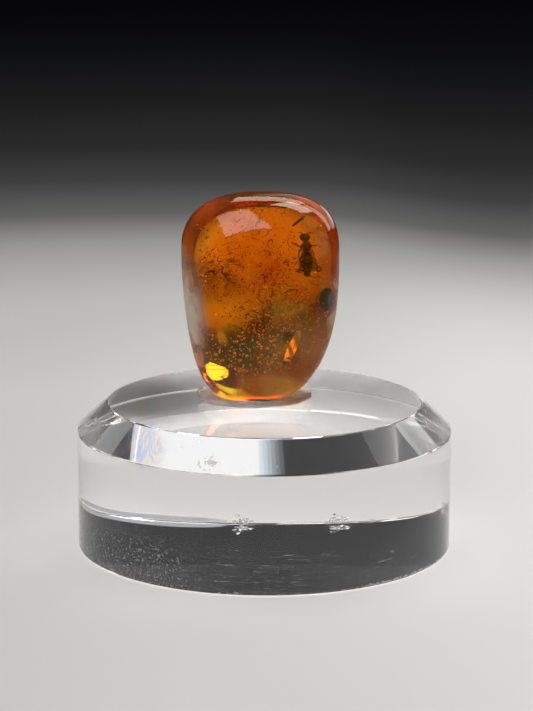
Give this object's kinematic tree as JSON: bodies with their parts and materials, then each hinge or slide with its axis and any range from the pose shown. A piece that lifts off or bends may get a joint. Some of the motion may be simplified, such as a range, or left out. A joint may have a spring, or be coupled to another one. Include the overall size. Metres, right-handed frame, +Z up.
{
  "type": "insect in amber",
  "caption": "Polished amber pebble with a fossil insect sealed in it, standing in clear putty on a bevelled clear acrylic disc.",
  "frame": {"origin": "centre of the display disc's flat underside", "axes": "+Z up from the underside; the pebble's broad face with the insect looks along -Y; +X to the right of it"},
  "size_m": [0.05, 0.05, 0.0479],
  "materials": {
    "acrylic": "polished",
    "putty": "satin",
    "amber": "polished",
    "chitin": "satin",
    "dark_wood": "matte",
    "charred_flake": "satin"
  },
  "bodies": {
    "root": {"display_base": "acrylic", "mounting_putty": "putty", "amber_front": "amber", "amber_back": "amber", "insect": "chitin", "splinter": "dark_wood", "dark_flake": "charred_flake"}
  },
  "joints": []
}
